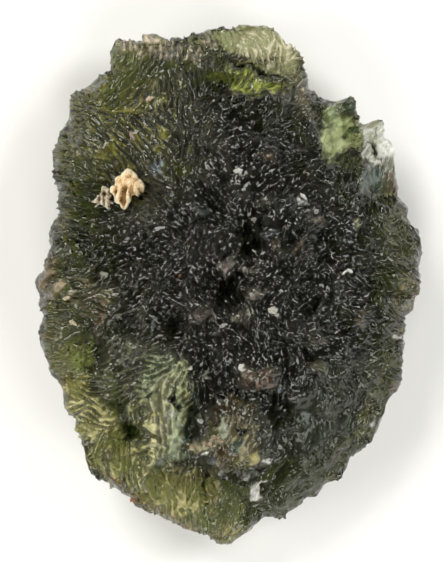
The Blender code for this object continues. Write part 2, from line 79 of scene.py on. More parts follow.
# Landmarks of the front, placed in pixels of the photograph. A later one is drawn over an earlier
# one. Each row is X, Y, half length, half width, direction of the length in degrees counterclockwise,
# height in millimetres, how strongly ridges show there, colour of the skin, and how dull it is, from 0 for
# clear glass to 1 for opaque
# In some rows the skin colour is painted light: near-black sunken rows are painted shade in the fissure,
# pits and grooves, near-white rows are painted highlights, and the pale skins of the flaps and the window
# stand for light shining through thin glass
LANDMARKS = (
    # upper left body and its rim
    (132, 138, 98, 94, 60, 0.0, 1.05, "#6a6e30", 0.29),
    (116, 124, 70, 70, 60, 0.0, 1.05, "#94914a", 0.43),
    (80, 122, 50, 15, 75, 0.0, 1.2, "#8f8a52", 0.48),
    (66, 190, 50, 13, 88, 0.0, 1.2, "#8c8650", 0.46),
    (52, 300, 60, 13, 92, 0.0, 1.2, "#7c6d53", 0.60),
    (66, 378, 42, 10, 112, 0.0, 1.2, "#7f724c", 0.60),
    (104, 440, 66, 30, -56, 0.0, 1.1, "#c6c085", 0.60),
    (165, 408, 60, 38, 84, 0.0, 1.0, "#b1b27c", 0.58),
    (84, 295, 34, 26, 0, 0.0, 1.3, "#7c7450", 0.46),
    # right rim
    (401, 250, 52, 15, 95, 0.0, 0.7, "#6c6e50", 0.62),
    (404, 305, 34, 13, 80, 0.0, 1.1, "#7a7252", 0.52),
    (388, 392, 60, 14, 70, 0.0, 0.9, "#50523e", 0.70),
    (389, 236, 12, 5, 95, 0.0, 0.2, "#5e6046", 0.60),
    (412, 292, 12, 5, 85, 0.15, 0.9, "#8e7f6a", 0.56),
    # top knobs and spikes
    (150, 46, 44, 15, -4, 0.10, 1.0, "#c9baa0", 0.64),
    (124, 46, 10, 9, 0, 0.30, 0.8, "#ddd0bc", 0.74),
    (157, 42, 13, 8, 10, 0.35, 0.8, "#d9cab4", 0.74),
    (193, 52, 12, 8, 80, 0.20, 0.9, "#cbbea8", 0.68),
    (207, 45, 16, 6, 20, 0.15, 1.0, "#c4b59e", 0.62),
    # ledge, fissure and window
    (265, 52, 40, 24, -8, 0.0, 1.3, "#dad4b6", 0.74),
    (243, 43, 15, 6, -6, 0.20, 1.2, "#dedbbc", 0.66),
    (262, 66, 20, 5, -12, 0.10, 0.7, "#d2d0aa", 0.50),
    (232, 60, 18, 9, -20, -0.10, 0.9, "#5f5838", 0.34),
    (294, 84, 20, 10, 100, 0.0, 1.0, "#bfb699", 0.62),
    (306, 110, 16, 9, 110, 0.10, 1.0, "#a89a82", 0.60),
    # The yellow-green skin of the window is painted light, standing for light shining through its thin wall
    (250, 84, 36, 10, -10, -0.1, 0.9, "#b6c060", 0.66),
    # The three near-black rows are painted shadow in the fissure under the ledge
    (236, 68, 20, 2.8, -4, -0.6, 0.3, "#0c0d06", 0.97),
    (262, 73, 20, 3.2, -16, -0.6, 0.3, "#0c0d06", 0.97),
    (283, 79, 14, 3.4, -30, -0.5, 0.3, "#0e0f08", 0.97),
    # green flap and clear flap
    # The pale green rows of the green flap are painted light, standing for light shining through its thin
    # glass
    (336, 138, 27, 17, 75, 0.0, 0.35, "#cfd8a4", 0.97),
    (350, 107, 12, 11, 60, 0.05, 0.8, "#434e3e", 0.80),
    (329, 115, 13, 11, 60, 0.15, 0.5, "#a9b98a", 0.92),
    (352, 132, 12, 4, 20, -0.15, 0.6, "#364a26", 0.74),
    # The clear flap's grey and white rows below are painted light, standing for light seen through its
    # clear glass
    (382, 143, 27, 24, 125, 0.0, 0.3, "#c6c6bd", 0.97),
    (389, 174, 16, 11, 95, 0.0, 0.5, "#90928a", 0.92),
    (387, 151, 13, 9, -20, 0.20, 0.45, "#eaeae6", 0.97),
    (370, 157, 14, 7, 100, 0.05, 0.45, "#c6c6ba", 0.95),
    (377, 130, 13, 6, 60, 0.20, 0.4, "#d8d8d0", 0.95),
    # The near-black sunken row is painted shade in the crack
    (375, 154, 14, 1.5, -52, -0.35, 0.3, "#26261f", 0.95),
    (372, 184, 18, 15, 0, 0.0, 0.6, "#626b64", 0.82),
    (372, 175, 9, 6, 0, 0.0, 0.7, "#808a84", 0.82),
    (387, 187, 11, 8, 80, 0.0, 0.5, "#5f5b4e", 0.88),
    (394, 184, 12, 5, 95, 0.0, 0.6, "#6f5a50", 0.84),
    # middle and right half
    (265, 161, 11, 6, -30, 0.15, 0.9, "#8d7264", 0.58),
    (238, 174, 5, 3, 20, 0.25, 0.4, "#c9c9c2", 0.75),
    # The blue-grey row is a painted sheen
    (157, 172, 13, 5, 80, 0.0, 1.0, "#97a5a8", 0.50),
    (203, 213, 11, 6, -10, 0.20, 0.8, "#8f989a", 0.60),
    (150, 232, 9, 5, 20, 0.10, 1.0, "#8c8a80", 0.32),
    (203, 315, 9, 10, 80, 0.40, 0.6, "#8b7d76", 0.60),
    (228, 269, 8, 6, 100, 0.40, 0.5, "#a0938a", 0.62),
    (250, 267, 9, 3.5, 35, 0.30, 0.7, "#8b847b", 0.60),
    (257, 293, 11, 5, 20, 0.30, 0.8, "#827b70", 0.56),
    (271, 309, 4, 6, 90, 0.30, 0.3, "#c3bfb6", 0.65),
    (243, 316, 10, 8, 30, 0.15, 0.9, "#7a6d50", 0.50),
    # The three near-black sunken rows are painted shade in pits
    (232, 290, 10, 9, 60, -0.35, 0.5, "#10100c", 0.10),
    (176, 322, 12, 10, 50, -0.35, 0.5, "#10120a", 0.10),
    (160, 262, 10, 4, 80, -0.20, 0.6, "#14180c", 0.10),
    # The two near-white rows are a painted highlight on the dome
    (301, 200, 8, 4, -50, 0.25, 0.4, "#dcdcd8", 0.70),
    (303, 213, 3, 5, 110, 0.10, 0.4, "#e4e4e0", 0.70),
    (314, 224, 5, 8, 70, 0.10, 0.7, "#88735f", 0.60),
    (265, 236, 8, 5, 30, 0.15, 0.8, "#868d9c", 0.56),
    (277, 246, 6, 8, 80, 0.15, 0.8, "#7e6a5e", 0.56),
    (300, 247, 10, 4, 40, 0.15, 0.8, "#86745f", 0.56),
    (263, 205, 14, 5, 20, 0.20, 1.0, "#7a756a", 0.30),
    (351, 228, 3, 5, 100, 0.15, 0.3, "#a4a47a", 0.66),
    (346, 271, 3, 3, 60, 0.15, 0.3, "#dededa", 0.80),
    (312, 338, 12, 5, 30, 0.15, 0.9, "#857a66", 0.52),
    (355, 321, 5, 9, 95, 0.10, 0.8, "#9b8562", 0.50),
    (316, 362, 8, 10, 60, 0.45, 0.1, "#96967a", 0.42),
    (325, 415, 62, 36, 52, 0.0, 0.38, "#3b3e33", 0.72),
    (395, 389, 8, 9, 60, 0.10, 0.6, "#5d4a3a", 0.50),
    # The two near-white rows are painted glints on rim facets
    (398, 335, 4, 3, 80, 0.15, 0.3, "#dfdfda", 0.75),
    (377, 424, 7, 3, 65, 0.15, 0.3, "#e6e6e2", 0.80),
    # left side
    (63, 285, 6, 5, 20, 0.25, 0.4, "#b5a78e", 0.60),
    (86, 284, 10, 4, -15, 0.15, 0.9, "#94845f", 0.44),
    (70, 297, 3, 6, 100, 0.15, 0.4, "#cfc6b0", 0.70),
    (76, 322, 3, 5, 60, 0.15, 0.4, "#c6bca4", 0.66),
    (94, 308, 14, 15, 70, 0.0, 1.2, "#8a7362", 0.38),
    (103, 322, 22, 3, 84, 0.30, 0.5, "#93765f", 0.52),
    # The near-black sunken row is painted shade in a pit
    (128, 318, 14, 6, 8, -0.30, 0.3, "#1a1d10", 0.30),
    (127, 312, 16, 2.2, 6, 0.25, 0.5, "#9a9284", 0.48),
    (146, 308, 50, 2.4, 76, 0.35, 0.5, "#716e58", 0.40),
    (156, 322, 12, 2.4, 85, 0.15, 0.5, "#a3b4b2", 0.62),
    (88, 354, 20, 8, 76, -0.10, 0.9, "#8e9a52", 0.52),
    (80, 388, 16, 8, 20, -0.05, 0.9, "#aaa264", 0.54),
    (60, 352, 26, 10, 100, 0.10, 1.1, "#8a7c62", 0.56),
    # The two dark green sunken rows are painted shade in hollows
    (98, 372, 10, 7, 0, -0.25, 0.5, "#2f3a1c", 0.40),
    (112, 352, 10, 6, 30, -0.20, 0.5, "#2c351f", 0.40),
    # streaks, crest, dark pit and brown ridge of the lower left
    (126, 366, 42, 28, 50, 0.0, 1.0, "#868a66", 0.44),
    (160, 375, 30, 20, 70, 0.0, 0.8, "#a0aa82", 0.60),
    (166, 412, 44, 20, 84, 0.0, 0.6, "#b4b68e", 0.72),
    # The dark green sunken row is painted shade in the pit
    (131, 432, 13, 12, 60, -0.35, 0.5, "#2f3a1a", 0.80),
    (111, 448, 34, 4, 88, 0.35, 0.6, "#847a54", 0.44),
    (176, 432, 24, 7, 85, 0.10, 0.4, "#abb592", 0.82),
    (166, 413, 7, 5, 10, 0.10, 0.5, "#c8cdba", 0.80),
    (160, 430, 24, 7, 80, 0.15, 0.6, "#bfbc96", 0.78),
    (182, 392, 26, 3, 82, 0.15, 0.5, "#98a276", 0.68),
    # The near-black sunken row is painted shade in a groove
    (176, 402, 18, 2.2, 95, -0.25, 0.4, "#2a2b12", 0.50),
    (194, 406, 30, 6, 84, -0.20, 1.1, "#46584c", 0.50),
    (189, 430, 14, 3.6, 84, -0.05, 1.1, "#64807c", 0.66),
    (155, 416, 10, 3.5, 70, 0.15, 0.6, "#b5ad6a", 0.70),
    (196, 444, 9, 5, 30, 0.25, 0.5, "#c4ba94", 0.72),
    (178, 453, 14, 6, -8, 0.15, 0.5, "#a4af92", 0.78),
    (160, 455, 8, 5, 20, 0.10, 0.5, "#8c9388", 0.72),
    # The near-black sunken row is painted shade in a groove
    (196, 456, 12, 2.0, 18, -0.30, 0.2, "#1b2210", 0.70),
    (198, 452, 7, 1.2, 25, 0.25, 0.1, "#f2f4ec", 0.90),
    # granular facet, its streaks and the bottom rim
    (180, 492, 50, 29, -8, 0.0, 0.9, "#bab37e", 0.58),
    (198, 494, 27, 3.2, 92, 0.25, 0.6, "#9c9768", 0.58),
    (216, 494, 27, 3.2, 84, 0.25, 0.6, "#98915e", 0.58),
    # The dark sunken row is painted shade in the groove between the streaks
    (207, 494, 27, 3.0, 88, -0.30, 0.5, "#39391a", 0.50),
    (172, 520, 46, 7, -31, 0.0, 1.0, "#a28c66", 0.68),
    (120, 484, 22, 7, -40, 0.0, 1.0, "#9a865e", 0.66),
    (112, 487, 6, 3.5, 80, 0.10, 0.4, "#b9bda8", 0.60),
    (133, 500, 4, 3, 0, 0.10, 0.5, "#c08a72", 0.70),
    (228, 530, 20, 12, 30, 0.0, 0.9, "#9c9468", 0.60),
    (352, 456, 32, 13, 50, 0.0, 0.7, "#4a4d3c", 0.74),
    (290, 488, 62, 24, 38, 0.0, 0.42, "#454836", 0.72),
    # lower knob with its swirls, and the lumps above it
    (236, 432, 44, 32, 80, 0.0, 0.6, "#928b6a", 0.72),
    (258, 374, 20, 11, 10, 0.20, 0.8, "#85705f", 0.60),
    (248, 371, 8, 8, 30, 0.30, 0.6, "#92806e", 0.64),
    (241, 365, 3, 4, 100, 0.25, 0.2, "#dcdad2", 0.80),
    (207, 374, 4, 3, 0, 0.20, 0.3, "#b8b6aa", 0.70),
    (277, 386, 8, 4, 0, 0.10, 0.7, "#8f97a6", 0.60),
    # The near-black sunken row is painted shade in a groove
    (234, 393, 26, 5, -6, -0.15, 0.8, "#1e1c18", 0.50),
    (218, 408, 14, 11, 30, 0.20, 0.8, "#66543a", 0.50),
    (244, 404, 20, 8, -14, 0.20, 0.8, "#6d6038", 0.54),
    (225, 422, 3.5, 13, -30, 0.25, 0.3, "#b2b99e", 0.78),
    (246, 415, 7, 5, 0, 0.15, 0.7, "#a3957e", 0.50),
    (212, 423, 10, 5, 110, 0.10, 0.5, "#73743e", 0.54),
    (214, 438, 11, 3.5, 15, 0.30, 0.4, "#c4b08e", 0.78),
    (214, 455, 5, 9, 90, 0.15, 0.4, "#8a8e90", 0.50),
    (227, 450, 9, 9, 60, 0.20, 0.7, "#84704a", 0.60),
    (237, 440, 10, 5, 80, 0.10, 0.6, "#808b76", 0.58),
    # The dark sunken row is painted shade in a hollow
    (243, 427, 9, 4, -10, -0.25, 0.5, "#2a2820", 0.60),
    (238, 463, 12, 7, 10, 0.15, 0.6, "#747040", 0.56),
    (252, 457, 12, 3.2, 70, 0.25, 0.4, "#b0a670", 0.74),
    (262, 430, 6, 26, 10, 0.10, 0.6, "#6c6e5c", 0.56),
    (265, 457, 3, 4, 100, 0.20, 0.2, "#e8e8e4", 0.85),
    (214, 472, 4, 6, 40, 0.15, 0.4, "#a8a488", 0.55),
    (226, 470, 2, 5, -15, 0.20, 0.2, "#c8c8c0", 0.70),
    (247, 475, 11, 2.2, 40, 0.20, 0.2, "#a8aba4", 0.70),
    # The dark sunken row is painted shade in a hollow
    (258, 468, 8, 3, 35, -0.15, 0.3, "#241e1c", 0.60),
    # The two near-white rows are painted glints on a freshly broken facet
    (256, 489, 3, 8, 12, 0.20, 0.4, "#dcdcd6", 0.92),
    (262, 482, 8.5, 2.6, 24, 0.20, 0.2, "#f0f0ec", 0.92),
    (150.5, 449, 41, 2.2, 79, 0.45, 0.2, "#d8d29c", 0.92),
)

# Outlines of the two crumbs in pixels of the photograph
TAN_OUTLINE = (
    (129, 170), (133, 171.5), (136, 174), (139, 177), (140, 180), (144, 182.5), (146, 185), (147.4, 188),
    (146.4, 192), (143.4, 196.5), (141, 199), (139.4, 196.6), (136, 196), (133.6, 197.4), (133, 201),
    (130.4, 205), (128.6, 209), (126, 211), (123, 209.4), (121.4, 205.4), (118, 204.6), (116.4, 203),
    (116, 198), (114, 195), (112, 194.4), (111.6, 190.4), (113, 187.6), (116.4, 187.2), (117, 184),
    (116.4, 180.6), (119, 178), (122, 177), (125, 174), (127, 171.4),
)
PALE_OUTLINE = (
    (104, 187), (109, 189), (111.6, 190.4), (110.6, 193), (111.6, 195.8), (113.4, 195.4), (112.6, 198),
    (110.4, 200.4), (115, 204), (114, 205.4), (110.4, 203.6), (112, 209.8), (109.6, 210.6), (107, 208.4),
    (104, 206), (101, 205.4), (99, 204.6), (96, 208.6), (97.4, 204), (92.6, 203), (96, 200.6), (99, 198.4),
    (98.2, 196.6), (101.4, 196), (103.2, 193), (103, 189),
)

# Small chips stuck to the glass: X, Y, half length and half width in pixels of the photograph, direction of
# the length in degrees counterclockwise, colour
CHIPS = (
    (150, 102, 3.2, 1.9, 30, "#b3a188"), (134, 139, 3.6, 2.0, 110, "#83736a"),
    (118, 165, 3.0, 1.6, 20, "#7d6d60"), (181, 276, 1.8, 1.1, 60, "#7c4a34"),
    (238, 174, 3.8, 2.0, 15, "#a9a9a2"), (63, 285, 4.0, 2.6, 10, "#94876c"),
    (70, 298, 1.8, 4.0, 100, "#b3a88f"), (76, 322, 1.9, 3.4, 60, "#aaa086"),
    (107, 275, 2.2, 3.6, 70, "#7d8072"), (241, 364, 2.4, 3.4, 110, "#bdbab0"),
    (207, 375, 3.0, 2.0, 0, "#94928a"), (265, 457, 1.6, 3.0, 100, "#c6c6c2"),
    (271, 309, 2.6, 4.0, 90, "#a09c92"), (346, 271, 1.6, 2.6, 60, "#bdbdb9"),
    (191, 366, 2.0, 1.5, 0, "#b0ada6"), (133, 500, 2.4, 1.6, 0, "#a06a50"),
    # The pale grey chip at 301, 200 is a painted highlight of the dome, not sediment
    (301, 200, 4.0, 1.6, -50, "#bfbfba"), (112, 486, 3.6, 2.2, 70, "#979b86"),
)

# How far the middle of a chip is above the glass, in millimetres
CHIP_LIFT = 0.05

# Etched ridges in two sizes: distance from one to the next and height, in millimetres. The finest of the
# real ones are 0.25 to 0.35 mm apart, which is too fine for the mesh, so they are drawn coarser. The packed
# surface runs through them at the level given last, which goes from 0 for a valley to 1 for a crest
FINE_RIDGES = (0.40, 0.34)
COARSE_RIDGES = (0.62, 0.46)
SURFACE_LEVEL = 0.35

# Broad lumps and fine grain on the stone, sizes and heights in millimetres
LUMP_SIZE = 1.1
LUMP_HEIGHT = 0.24
GRAIN_SIZE = 0.26
GRAIN_HEIGHT = 0.022

# Around the facet that the stone rests on, the back is set in, so that its ridges clear the floor: by how
# much, the heights between which this fades out, and the height up to which the facet stays flat, all in
# millimetres
FLOOR_INSET = 0.22
FLOOR_FADE = (0.2, 1.2)
FLOOR_GAP = 0.02

# The ellipse of the rim, in millimetres from the middle
RIM_HALF_WIDTH = 13.2
RIM_HALF_LENGTH = 17.6

# Skin of the glass where no landmark says otherwise, and the tint of the glass where it has no skin
MIDDLE_SKIN = "#5b6052"
RIM_SKIN = "#78704a"
BACK_SKIN = "#857d5f"
BARE_GLASS = "#eaecd2"

# Roughness of bare glass and how much a full skin adds, and the dents that are too fine for the mesh, their
# size and depth in millimetres
BARE_ROUGHNESS = 0.05
SKIN_ROUGHNESS = 0.32
DENT_SIZE = 0.22
DENT_DEPTH = 0.03

# Lamps, all turned to the middle of the floor: name, place and width in metres, power in watts, colour
LAMPS = (
    ("Window", (-0.27, 0.37, 0.34), 0.32, 2.70, (1.0, 0.98, 0.94)),
    ("Fill", (0.44, 0.20, 0.32), 0.30, 1.90, (1.0, 0.99, 0.97)),
    ("Low_light", (-0.05, -0.50, 0.28), 0.30, 1.60, (1.0, 0.98, 0.94)),
    ("Side_light", (-0.48, -0.13, 0.26), 0.28, 1.20, (1.0, 0.97, 0.92)),
    ("Far_fill", (0.36, -0.32, 0.30), 0.30, 1.30, (0.99, 1.0, 0.98)),
)
ROOM_COLOUR = (1.0, 0.99, 0.96, 1.0)
ROOM_STRENGTH = 0.10

# A long lens, in millimetres, to scale at the height of the stone's rim
LENS = 150.0
RIM_HEIGHT = 4.0 * MM


def linear(hex_colour):
    """An sRGB hex colour as the linear red, green and blue that Blender's sockets take."""
    parts = [int(hex_colour[i : i + 2], 16) / 255.0 for i in (1, 3, 5)]
    return tuple(p / 12.92 if p <= 0.04045 else ((p + 0.055) / 1.055) ** 2.4 for p in parts)


class GlassSettings(bpy.types.PropertyGroup):
    """Sizes and colours of the etched glass."""

    ridge_scale: FloatProperty(
        name="Ridge height", description="Factor on the height of every etched ridge",
        default=1.0, min=0.0, max=2.0,
    )
    absorption_colour: FloatVectorProperty(
        name="Glass colour", description="Colour that light takes on in the depth of the glass",
        subtype="COLOR", size=3, min=0.0, max=1.0, default=linear("#bac36a"),
    )
    absorption: FloatProperty(
        name="Absorption", description="How strongly the glass absorbs, for each metre of depth",
        default=950.0, min=0.0,
    )


class CrumbSettings(bpy.types.PropertyGroup):
    """Colours of the two crumbs of dried clay."""

    tan_colour: FloatVectorProperty(
        name="Tan crumb", description="Colour of the larger crumb where it is neither furrow nor rubbed",
        subtype="COLOR", size=3, min=0.0, max=1.0, default=linear("#d6b98e"),
    )
    pale_colour: FloatVectorProperty(
        name="Pale crumb", description="Colour of the smaller crumb where it is neither furrow nor rubbed",
        subtype="COLOR", size=3, min=0.0, max=1.0, default=linear("#b3a78f"),
    )


class StageSettings(bpy.types.PropertyGroup):
    """Size and colour of the floor."""

    floor_size: FloatProperty(
        name="Floor size", description="Width of the round floor", default=1.2, unit="LENGTH"
    )
    floor_colour: FloatVectorProperty(
        name="Floor colour", description="Pale matte paper",
        subtype="COLOR", size=3, min=0.0, max=1.0, default=linear("#f4f4f2"),
    )


def add_node(tree, kind, settings=None, inputs=None, links=None):
    """Adds a shader node, sets its properties and inputs, and links other nodes' outputs to its inputs."""
    node = tree.nodes.new(kind)
    for name, value in (settings or {}).items():
        setattr(node, name, value)
    for name, value in (inputs or {}).items():
        node.inputs[name].default_value = value
    for name, source in (links or {}).items():
        tree.links.new(source, node.inputs[name])
    return node


def new_material(name):
    """A material and its empty node tree."""
    material = bpy.data.materials.new(name)
    material.use_nodes = True
    material.node_tree.nodes.clear()
    return material, material.node_tree


def flow_angle_map(x, y, flow, softness=1.6):
    """Ridge direction in radians at each place, blended from the given ones. A ridge has no forward end, so
    the angles are doubled first, and 0 and 180 degrees are the same."""
    cosine, sine = np.zeros_like(x), np.zeros_like(x)
    for cx, cy, degrees in flow:
        weight = 1.0 / ((x - cx) ** 2 + (y - cy) ** 2 + softness**2) ** 2
        cosine += weight * math.cos(2.0 * math.radians(degrees))
        sine += weight * math.sin(2.0 * math.radians(degrees))
    return 0.5 * np.arctan2(sine, cosine)


def ridge_map(x, y, angle, spacing, seed, rounds=5, turns=8):
    """Wormy ridges that follow the angle map, from 0 in a valley to 1 on a crest: noise passed again and
    again through band filters along the local direction, as etching sharpens what it has begun."""
    spacing_tolerance = 0.34
    filter_sharpness = 7.0
    direction_sharpness = 9.0
    ridge_width = 0.42
    # A ridge stands wherever a wave passes through zero, and that is twice in its length
    wave = 2.0 * spacing
    cell = x[0, 1] - x[0, 0]
    rows, columns = x.shape
    fy = np.fft.fftfreq(rows, cell)[:, None]
    fx = np.fft.rfftfreq(columns, cell)[None, :]
    radius = np.hypot(fx, fy)
    direction = np.arctan2(fy, fx)
    ring = np.exp(-(((radius * wave - 1.0) / spacing_tolerance) ** 2))
    filters, weights = [], []
    for k in range(turns):
        along = math.pi * k / turns
        across = along + math.pi / 2.0
        lobe = np.exp(filter_sharpness * (np.cos(2.0 * (direction - across)) - 1.0))
        filters.append(ring * lobe)
        weights.append(np.exp(direction_sharpness * (np.cos(2.0 * (angle - along)) - 1.0)))
    total = sum(weights)
    height = np.random.default_rng(seed).standard_normal((rows, columns))
    for _ in range(rounds):
        spectrum = np.fft.rfft2(height)
        passed = sum(w * np.fft.irfft2(spectrum * f, s=(rows, columns)) for f, w in zip(filters, weights))
        passed /= total
        height = np.tanh(1.3 * passed / passed.std())
    level = np.tanh(0.75 * passed / passed.std())
    return ridge_width**2 / (level**2 + ridge_width**2)


class Plan:
    """A fine grid over the stone's plan, in millimetres, on which relief and skin are drawn."""

    def __init__(self, low=(-14.5, -19.2), size=(29.0, 38.4), cell=0.04):
        self.low = low
        self.cell = cell
        self.x, self.y = np.meshgrid(
            low[0] + cell * np.arange(int(size[0] / cell)),
            low[1] + cell * np.arange(int(size[1] / cell)),
        )
        rows, columns = self.x.shape
        self.frequency = np.hypot(
            np.fft.fftfreq(rows, cell)[:, None], np.fft.rfftfreq(columns, cell)[None, :]
        )

    def smooth(self, size, seed):
        """Smooth noise with blobs of the given size, about -2 to 2."""
        field = np.random.default_rng(seed).standard_normal(self.x.shape)
        blur = np.exp(-((self.frequency * size) ** 2))
        field = np.fft.irfft2(np.fft.rfft2(field) * blur, s=self.x.shape)
        return field / field.std()

    def window(self, cx, cy, reach, spare):
        """The cells around a place, as slices of rows and columns, with spare cells past the reach."""
        i = int((cy - self.low[1] - reach) / self.cell)
        j = int((cx - self.low[0] - reach) / self.cell)
        n = int(2.0 * reach / self.cell) + spare
        return slice(max(i, 0), max(i + n, 0)), slice(max(j, 0), max(j + n, 0))

    def read(self, values, x, y):
        """The drawn values at any places, blended between the four nearest cells."""
        column = (x - self.low[0]) / self.cell
        row = (y - self.low[1]) / self.cell
        rows, columns = self.x.shape
        i = np.clip(row.astype(int), 0, rows - 2)
        j = np.clip(column.astype(int), 0, columns - 2)
        v, u = row - i, column - j
        if values.ndim == 3:
            v, u = v[:, None], u[:, None]
        return (
            (1 - v) * (1 - u) * values[i, j] + (1 - v) * u * values[i, j + 1]
            + v * (1 - u) * values[i + 1, j] + v * u * values[i + 1, j + 1]
        )


def smoothstep(value, low, high):
    """0 up to the low value and 1 from the high one on, with a smooth rise between them."""
    t = np.clip((value - low) / (high - low), 0.0, 1.0)
    return t * t * (3.0 - 2.0 * t)


def on_stone(column, row):
    """A pixel of the photograph as X and Y in millimetres."""
    scale = PHOTO_PIXEL / MM
    return (column - STONE_MIDDLE_PIXEL[0]) * scale, (STONE_MIDDLE_PIXEL[1] - row) * scale


def draw_ridges(plan, flow, seed):
    """Etched ridges in millimetres and, from 0 to 1, how near each place is to a crest. They follow the
    flow, or run outwards from the middle where there is none."""
    angle = flow_angle_map(plan.x, plan.y, flow) if flow else np.arctan2(plan.y, plan.x)
    angle = angle + 0.40 * plan.smooth(1.6, seed + 1)
    fine = ridge_map(plan.x, plan.y, angle, FINE_RIDGES[0], seed + 2)
    coarse = ridge_map(plan.x, plan.y, angle, COARSE_RIDGES[0], seed + 3)
    share = smoothstep(plan.smooth(2.2, seed + 4), 0.2, 1.5)
    height = (
        (1.0 - share) * FINE_RIDGES[1] * (fine - SURFACE_LEVEL)
        + share * COARSE_RIDGES[1] * (coarse - SURFACE_LEVEL)
    )
    strength = np.clip(0.95 + 0.32 * plan.smooth(1.5, seed + 5), 0.3, 1.6)
    return height * strength, (1.0 - share) * fine + share * coarse


def draw_cups(plan, seed, count=190, radii=(0.25, 0.75), depth_by_radius=0.42):
    """Small round etch pits, in millimetres, deepest in the middle of each."""
    chance = np.random.default_rng(seed)
    depth = np.zeros_like(plan.x)
    for _ in range(count):
        cx, cy = chance.uniform(-12.5, 12.5), chance.uniform(-17.0, 17.0)
        radius = chance.uniform(*radii)
        window = plan.window(cx, cy, radius, spare=2)
        d2 = ((plan.x[window] - cx) ** 2 + (plan.y[window] - cy) ** 2) / radius**2
        cup = -depth_by_radius * radius * np.sqrt(np.clip(1.0 - d2, 0.0, 1.0))
        depth[window] = np.minimum(depth[window], cup)
    return depth


def draw_landmarks(plan, crest):
    """Height in millimetres, ridge strength, skin colour, which holds painted shade and highlights in
    places, and dullness over the front's plan.
    """
    rimward = smoothstep(np.hypot(plan.x / RIM_HALF_WIDTH, plan.y / RIM_HALF_LENGTH), 0.70, 0.98)[..., None]
    height = np.zeros_like(plan.x)
    ridges = np.ones_like(plan.x)
    skin_and_painted_light = (1.0 - rimward) * np.array(linear(MIDDLE_SKIN)) + rimward * np.array(linear(RIM_SKIN))
    dull = 0.12 + 0.10 * rimward[..., 0]
    # The edges of landmarks waver, by up to about half a millimetre
    bent_x = plan.x + 0.10 * plan.smooth(0.55, 71) + 0.16 * plan.smooth(1.3, 72)
    bent_y = plan.y + 0.10 * plan.smooth(0.55, 73) + 0.16 * plan.smooth(1.3, 74)
    scale = PHOTO_PIXEL / MM
    for column, row, length, width, direction, rise, strength, colour, dullness in LANDMARKS:
        cx, cy = on_stone(column, row)
        window = plan.window(cx, cy, 1.3 * max(length, width) * scale + 0.4, spare=1)
        dx, dy = bent_x[window] - cx, bent_y[window] - cy
        c, s = math.cos(math.radians(direction)), math.sin(math.radians(direction))
        d = np.hypot((c * dx + s * dy) / (length * scale), (c * dy - s * dx) / (width * scale))
        weight = 1.0 - smoothstep(d, 0.70, 1.10)
        height[window] += rise * (1.0 - smoothstep(d, 0.2, 1.15))
        ridges[window] += weight * (strength - ridges[window])
        dull[window] += weight * (dullness - dull[window])
        skin_and_painted_light[window] += weight[..., None] * (np.array(linear(colour)) - skin_and_painted_light[window])
    # Skin shows most along the crests, partly where soil rubbed it and partly as a painted highlight of the
    # crest lines, and all over where there are no ridges
    in_valleys = 0.24
    on_crests = 1.25
    by_crest = in_valleys + on_crests * crest**1.8
    shown = by_crest + (1.0 - np.clip(ridges, 0.0, 1.0)) * (1.0 - by_crest)
    dull = np.clip(dull * shown * (1.0 + 0.12 * plan.smooth(0.4, 75)), 0.0, 0.97) ** 1.8
    return height, ridges, skin_and_painted_light, dull


def noise_at(points, size, offset=0.0):
    """Smooth noise in space, about -1 to 1, another for each offset."""
    shift = Vector((offset * 17.3, offset * 5.1, offset * 9.7))
    return np.array([noise.noise(Vector(p) / size + shift) for p in points])


def modified_mesh(item):
    """The mesh that the object's modifiers make, which then come off."""
    mesh = bpy.data.meshes.new_from_object(item.evaluated_get(bpy.context.evaluated_depsgraph_get()))
    item.modifiers.clear()
    return mesh


def dense_copy(name, node):
    """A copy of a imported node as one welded, smoothed mesh, finer on its front than on its back."""
    shape = bmesh.new()
    shape.from_mesh(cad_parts[node].data)
    bmesh.ops.remove_doubles(shape, verts=shape.verts, dist=0.0005 * MM)
    mesh = bpy.data.meshes.new(name)
    shape.to_mesh(mesh)
    shape.free()
    item = bpy.data.objects.new(name, mesh)
    bpy.context.scene.collection.objects.link(item)
    modifier = item.modifiers.new("Round off", "SUBSURF")
    modifier.levels = modifier.render_levels = 2
    shape = bmesh.new()
    shape.from_mesh(modified_mesh(item))
    front = [face for face in shape.faces if face.normal.z > -0.05]
    edges = {edge for face in front for edge in face.edges}
    bmesh.ops.subdivide_edges(shape, edges=list(edges), cuts=1, use_grid_fill=True)
    shape.to_mesh(mesh)
    shape.free()
    return item


def thin_out(item, triangles):
    """Joins the triangles that matter least, so that those left lie along the ridges."""
    have = sum(len(polygon.vertices) - 2 for polygon in item.data.polygons)
    modifier = item.modifiers.new("Thin out", "DECIMATE")
    modifier.ratio = triangles / have
    item.data = modified_mesh(item)


def points_and_normals(item):
    """The object's points in millimetres, and the normal at each."""
    mesh = item.data
    points = np.empty(len(mesh.vertices) * 3)
    mesh.vertices.foreach_get("co", points)
    normals = np.empty(len(mesh.vertices) * 3)
    mesh.vertex_normals.foreach_get("vector", normals)
    return points.reshape(-1, 3) / MM, normals.reshape(-1, 3)


def set_points(item, points_mm):
    """Moves the object's points to places in millimetres."""
    item.data.vertices.foreach_set("co", (points_mm * MM).astype(np.float32).ravel())
    item.data.update()


def add_point_values(item, name, values):
    """Stores a number or a colour for each point."""
    kind, field = ("FLOAT", "value") if values.ndim == 1 else ("FLOAT_COLOR", "color")
    layer = item.data.attributes.new(name, kind, "POINT")
    layer.data.foreach_set(field, values.astype(np.float32).ravel())


def front_share(normals):
    """How much each normal belongs to the front, from 0 on the back to 1."""
    return np.clip(0.5 + 3.0 * normals[:, 2], 0.0, 1.0)


